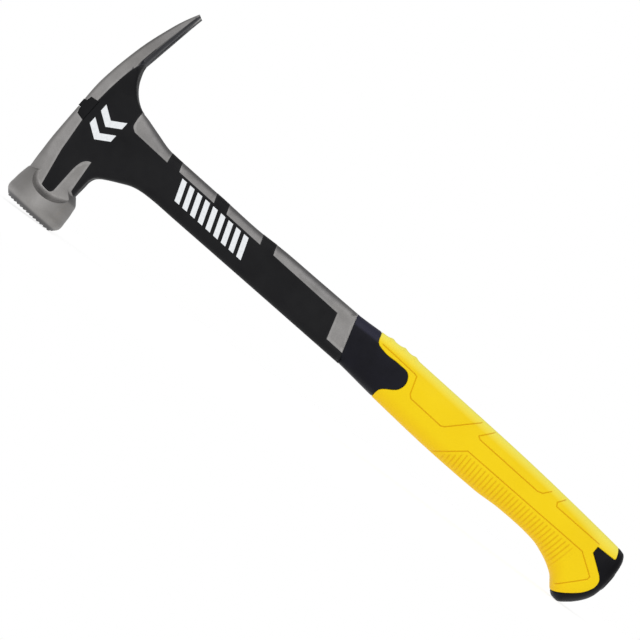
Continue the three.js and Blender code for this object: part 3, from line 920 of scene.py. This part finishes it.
def handle_mesh(borders):
    """The flat points and triangles of the handle's side."""
    back = along_curve(handle_back, COLLAR_TOP[0], LENGTH)
    front = along_curve(handle_front, COLLAR_FRONT[0], LENGTH)[::-1]
    outline = join(back, polyline([back[-1], front[0]]), front, polyline([front[-1], back[0]]))[:-1]
    lines = grooves + borders
    loose = [*edge_rows(back), *edge_rows(front)]
    widest = math.sin(math.radians(EDGE_ANGLES[-1])) ** (2 / SECTION_POWER)
    for points, ribbed in ((rib_rows(), True), (filling(outline, HANDLE_GRID), False)):
        points = points[inside(points, outline)]
        central = np.abs(across_share(points)) < widest - 0.02
        points = points[central & ((rib_area(points) > 0.02) == ribbed)]
        loose.append(away_from(points, lines, LINE_ROWS[-1] + 0.05))
    loose = np.concatenate(loose)
    for line in lines:
        others = [other for other in lines if other is not line]
        loose = away_from(loose, [line], ON_LINE)
        loose = np.concatenate([loose, away_from(beside(line, LINE_ROWS), others, 0.2)])
    return side_mesh(outline, [], lines, loose)


def handle_relief(flat, borders):
    """How far each point stands out from the plain handle, and the marks that the materials read.

    One mark, 1 at the bottom of grooves and ribs and partly on the dots, is where the grip gets painted
    shade; "side" is -1 on the front edge and 1 on the spine.
    """
    share = across_share(flat)
    groove = np.zeros(len(flat))
    for line in grooves:
        gap = np.minimum(nearest(flat, line)[0], GROOVE_HALF)
        groove = np.maximum(groove, 0.5 + 0.5 * np.cos(np.pi * gap / GROOVE_HALF))
    groove *= 1 - ramp(np.abs(share), 0.92, 0.99)
    rib = (1 - np.abs(np.cos(np.pi * (rib_phase(flat) + 0.5))) ** 0.8) * rib_area(flat)
    gap = np.minimum.reduce([nearest(flat, line)[0] for line in borders])
    roll = EDGE_ROLL - np.sqrt(EDGE_ROLL ** 2 - np.maximum(EDGE_ROLL - gap, 0) ** 2)
    nubs = np.zeros(len(flat))
    dots = np.zeros(len(flat))
    for x in NUBS:
        nubs += NUB_HEIGHT * np.exp(-((flat[:, 0] - x) / 1.8) ** 2) * ramp(share, 0.72, 0.97)
        away = (flat[:, 0] - x + 0.4) ** 2 + (flat[:, 1] - handle_back(x) + 2.0) ** 2
        dots += np.exp(-away / 0.9)
    height = nubs + DOT_HEIGHT * dots - groove * GROOVE_DEPTH - rib * RIB_DEPTH - roll
    return height, {"dip": np.clip(groove + 0.7 * rib + 0.3 * dots, 0, 1), "side": share}


def handle_surface():
    """The handle's surface with its relief, each face's kind (0 core, 1 sleeve, 2 cap), and its marks."""
    borders = [sleeve_start, cap_start]
    flat, triangles = handle_mesh(borders)
    middles = flat[triangles].mean(1)
    collar = inside(middles, np.concatenate([sleeve_start, [(190, -34), (190, 12)]]))
    cap = inside(middles, np.concatenate([cap_start, [(420, 12), (420, -50)]]))
    kind = np.where(cap, 2, np.where(collar, 0, 1))
    vertices, faces, kind, stands_on = two_sided(flat, triangles, handle_width(flat), kind)
    normal = vertex_normals(vertices, faces)
    height, marks = handle_relief(flat, borders)
    vertices = vertices + normal * height[stands_on][:, None]
    return (vertices, faces, normal), kind, {name: value[stands_on] for name, value in marks.items()}


# -------- materials

class Surface:
    """A procedural material under construction: object coordinates in, one Principled shader out."""

    def __init__(self, name, roughness, metallic=0.0, specular=0.5):
        self.material = bpy.data.materials.new(name)
        self.material.use_nodes = True
        self.nodes = self.material.node_tree.nodes
        self.shader = self.nodes["Principled BSDF"]
        set_inputs(self.shader, {"Roughness": roughness, "Metallic": metallic,
                                 "Specular IOR Level": specular})
        self.where = self.nodes.new("ShaderNodeTexCoord").outputs["Object"]

    def link(self, output, target):
        self.material.node_tree.links.new(output, target)

    def noise(self, scale, detail):
        """A noise value; `scale` is in features per metre."""
        node = self.nodes.new("ShaderNodeTexNoise")
        set_inputs(node, {"Scale": scale, "Detail": detail})
        self.link(self.where, node.inputs["Vector"])
        return node.outputs["Fac"]

    def remap(self, value, low, high, to_low=0.0, to_high=1.0):
        node = self.nodes.new("ShaderNodeMapRange")
        set_inputs(node, {"From Min": low, "From Max": high, "To Min": to_low, "To Max": to_high})
        self.link(value, node.inputs["Value"])
        return node.outputs["Result"]

    def patches(self, scale, detail, low=0.0, high=1.0):
        """Soft patches of noise, from low to high."""
        return self.remap(self.noise(scale, detail), 0.3, 0.7, low, high)

    def mix(self, share, first, second):
        """A colour between two, each a colour or another node's output."""
        node = self.nodes.new("ShaderNodeMix")
        node.data_type = "RGBA"
        self.link(share, node.inputs["Factor"])
        for value, target in ((first, node.inputs[6]), (second, node.inputs[7])):
            if isinstance(value, tuple):
                target.default_value = (*value, 1)
            else:
                self.link(value, target)
        return node.outputs[2]

    def stored(self, name):
        """A number stored on the piece's points."""
        node = self.nodes.new("ShaderNodeAttribute")
        node.attribute_name = name
        return node.outputs["Fac"]

    def edges(self, low=0.52, high=0.62):
        """1 on convex edges, where the finish wears off."""
        return self.remap(self.nodes.new("ShaderNodeNewGeometry").outputs["Pointiness"], low, high)

    def colour(self, output):
        self.link(output, self.shader.inputs["Base Color"])

    def roughness(self, scale, detail, low, high):
        self.link(self.patches(scale, detail, low, high), self.shader.inputs["Roughness"])

    def bump(self, height, strength, depth):
        """Relief too fine to model; `depth` is in metres."""
        node = self.nodes.new("ShaderNodeBump")
        set_inputs(node, {"Strength": strength, "Distance": depth})
        self.link(height, node.inputs["Height"])
        self.link(node.outputs["Normal"], self.shader.inputs["Normal"])


def floor_white():
    """A pale glow that fades out around the hammer."""
    s = Surface("floor", 0.9)
    set_inputs(s.shader, {"Base Color": FLOOR_GREY, "Emission Color": (1, 1, 1, 1),
                          "Emission Strength": FLOOR_GLOW})
    distance = s.nodes.new("ShaderNodeVectorMath")
    distance.operation = "LENGTH"
    s.link(s.nodes.new("ShaderNodeNewGeometry").outputs["Position"], distance.inputs[0])
    fade = s.remap(distance.outputs["Value"], *FLOOR_FADE, 1.0, 0.0)
    fade.node.interpolation_type = "SMOOTHSTEP"
    s.link(fade, s.shader.inputs["Alpha"])
    return s.material


def forged_steel():
    """Satin forged steel: fine blasted grain, faint blotches, worn edges; painted shade under the claw, on
    the face's rim and along the spine, and a little darker everywhere above the bell.
    """
    s = Surface("forged_steel", 0.55, metallic=1.0)
    blotch = s.patches(45, 4)
    grain = s.noise(2600, 2)
    base = s.mix(blotch, (0.30, 0.29, 0.28), (0.36, 0.35, 0.345))
    base = s.mix(s.remap(grain, 0.35, 0.75, 0, 0.35), base, (0.20, 0.195, 0.19))
    worn = s.mix(s.edges(), base, (0.50, 0.49, 0.48))
    # the stored mark darkens the steel: painted shade under the claw, on the face's rim and along the
    # spine, and plain darkening above the bell
    s.colour(s.mix(s.stored("scale"), worn, (0.030, 0.031, 0.038)))
    s.roughness(160, 5, 0.48, 0.62)
    s.bump(grain, 0.25, 0.0001)
    return s.material


def jacket_black():
    """Matt black coating over the forging: very fine texture, slightly greyer on its edges."""
    s = Surface("jacket_black", 0.5, specular=0.11)
    base = s.mix(s.patches(60, 4), (0.0062, 0.0062, 0.0072), (0.0095, 0.0095, 0.0105))
    s.colour(s.mix(s.edges(0.53, 0.66), base, (0.022, 0.022, 0.024)))
    s.roughness(220, 4, 0.46, 0.6)
    s.bump(s.noise(3600, 2), 0.18, 0.00008)
    return s.material


def moulded_black(name, tint, gloss):
    """Moulded plastic: fine eroded texture, faint variation, and a painted highlight that makes it paler
    along the handle's spine.
    """
    s = Surface(name, gloss, specular=0.12)
    darker = tuple(value * 0.6 for value in tint)
    base = s.mix(s.patches(80, 3), darker, tint)
    worn = s.mix(s.edges(0.53, 0.66), base, tuple(value * 2.5 for value in tint))
    # painted highlight: paler along the handle's spine
    s.colour(s.mix(s.remap(s.stored("side"), 0.56, 0.66), worn, tuple(value * 3.2 for value in tint)))
    s.roughness(300, 4, gloss - 0.06, gloss + 0.08)
    s.bump(s.noise(2400, 3), 0.2, 0.0001)
    return s.material


def grip_yellow():
    """Soft yellow grip: painted shade makes it deeper orange in its grooves, ribs and dots and warmer along
    the front edge, and a painted sheen makes it paler on the spine.
    """
    s = Surface("grip_yellow", 0.55, specular=0.12)
    yellow = s.mix(s.patches(30, 3), (0.86, 0.60, 0.003), (0.89, 0.64, 0.005))
    side = s.stored("side")
    # painted shade: a warmer, deeper yellow towards the front edge
    front_shade = s.mix(s.remap(side, -0.45, -1.0), yellow, (0.85, 0.53, 0.003))
    # painted sheen: paler yellow along the spine
    pale = s.mix(s.remap(side, 0.66, 0.96), front_shade, (0.96, 0.86, 0.12))
    # painted shade: deeper orange in the grooves, the ribs and on the dots
    dips = s.remap(s.stored("dip"), 0.1, 1.0, 0, 0.85)
    s.colour(s.mix(dips, pale, (0.66, 0.31, 0.002)))
    s.roughness(260, 4, 0.44, 0.58)
    s.bump(s.noise(2800, 3), 0.15, 0.0001)
    return s.material


def white_print():
    """White printed ink, a little uneven."""
    s = Surface("white_print", 0.5, specular=0.3)
    s.colour(s.mix(s.remap(s.noise(700, 4), 0.35, 0.7), (0.74, 0.76, 0.78), (0.84, 0.86, 0.88)))
    s.roughness(300, 3, 0.42, 0.6)
    return s.material


def magnet_plate():
    """Nickel-plated magnet."""
    s = Surface("magnet_plate", 0.25, metallic=1.0)
    s.colour(s.mix(s.noise(400, 4), (0.55, 0.54, 0.52), (0.68, 0.67, 0.65)))
    s.roughness(900, 4, 0.2, 0.36)
    return s.material


# -------- assembling

def finish_piece(piece, node, material, sharp=35):
    """Shades a piece, smooth but for edges over `sharp` degrees, gives it its material, attaches it to the
    root body and hides the CAD node that it stands in for.
    """
    piece.data.shade_smooth()
    piece.data.set_sharp_from_angle(angle=math.radians(sharp))
    weighted = piece.modifiers.new("normals", "WEIGHTED_NORMAL")  # so that flats look flat
    weighted.keep_sharp = True
    piece.data.materials.clear()
    piece.data.materials.append(material)
    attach(piece, "root")
    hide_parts(node)


def build_head():
    surface, covered = blank_surface()
    forging, _ = layered("forging", surface, covered, 0.0, -STEEL_SUNK)
    jacket, _ = shell("jacket", surface, covered, JACKET_PROUD, -JACKET_DEEP)
    ink, _ = shell("ink", surface, covered, JACKET_PROUD + INK_PROUD, JACKET_PROUD - INK_DEEP)
    cut(forging, bell(), "UNION")
    cut(forging, claw_slot())
    insert_gap = grown(insert_outline, INSERT_GAP)
    for body in (forging, jacket):
        cut(body, prism(insert_gap, 1, -30, 30))
        cut(body, nail_groove())
    insert = insert_block()
    cut(insert, nail_groove())
    cut(insert, magnet_pocket())
    stamps = [prism(outline, 1, -30, 30) for outline in print_outlines()]
    cut(ink, joined(stamps), "INTERSECT")
    paint_shade_and_darkening(forging)
    insert_black = moulded_black("insert_black", (0.005, 0.005, 0.006), 0.4)
    finish_piece(forging, "steel_forging", forged_steel(), 32)
    finish_piece(jacket, "neck_jacket", jacket_black(), 40)
    finish_piece(insert, "nail_start_insert", insert_black)
    finish_piece(ink, "neck_jacket", white_print(), 60)


def paint_shade_and_darkening(forging):
    """Marks where the steel is painted darker: painted shade all over the claw's underside, on the face's
    rim and teeth, and on the upward-facing spine of neck and shank; and a little darkening everywhere above
    the bell, more on the claw and the shank.
    """
    to_hammer = place.inverted()
    points = np.array([to_hammer @ vertex.co for vertex in forging.data.vertices])
    normals = np.array([turn.transposed() @ vertex.normal for vertex in forging.data.vertices])
    x, z = points[:, 0], points[:, 2]
    # painted shade on the claw's underside, which faces the handle
    under = ramp(normals[:, 0], 0.25, 0.7) * ramp(z, 14, 24) * (x > 8)
    # painted shade on the face's rim and in its teeth
    face = 0.62 * ramp(-z, 75.8, 77.6)
    shank = ramp(x, 28, 50) * (1 - ramp(x, 178, 194))
    # painted shade on upward-facing steel from the neck on
    spine = ramp(normals[:, 2], 0.15, 0.8) * ramp(x, 24, 34)
    tone = 0.14 * ramp(z, -63, -54) + 0.18 * ramp(z, 20, 45) + 0.16 * shank
    tone += 0.3 * spine
    # the stored mark holds this painted shade and darkening
    paint(forging, scale=np.maximum(np.maximum(under, face), tone))


def joined(things):
    """One object from several."""
    with bpy.context.temp_override(active_object=things[0], selected_editable_objects=things):
        bpy.ops.object.join()
    return things[0]


def build_handle():
    surface, kind, marks = handle_surface()
    core, sources = layered("core", surface, kind > 0, -COLLAR_SUNK, -OVERMOULD + 0.1)
    # the side mark gives the core's material its painted highlight along the spine
    paint(core, side=marks["side"][sources])
    sleeve, sources = shell("sleeve", surface, kind == 1, 0.0, -OVERMOULD)
    # these marks give the sleeve its painted shade in grooves, ribs and dots, and across it from front to
    # spine
    paint(sleeve, dip=marks["dip"][sources], side=marks["side"][sources])
    cap, _ = shell("cap", surface, kind == 2, -CAP_SUNK, -OVERMOULD)
    core_black = moulded_black("core_black", (0.006, 0.006, 0.011), 0.42)
    cap_black = moulded_black("cap_black", (0.003, 0.003, 0.005), 0.46)
    finish_piece(core, "handle_core", core_black)
    finish_piece(sleeve, "grip_sleeve", grip_yellow(), 50)
    finish_piece(cap, "butt_cap", cap_black)


def dress_hidden_nodes():
    """Gives materials to the two pieces inside, which keep their CAD shapes."""
    damper_rubber = moulded_black("damper_rubber", (0.02, 0.02, 0.02), 0.6)
    for node, material in (("nail_start_magnet", magnet_plate()), ("tang_damper", damper_rubber)):
        materials = frame["nodes"][node].data.materials
        materials.clear()
        materials.append(material)


add_lights(*add_camera())
add_world()
add_floor()
bpy.context.scene.view_settings.view_transform = "Standard"
build_head()
build_handle()
dress_hidden_nodes()
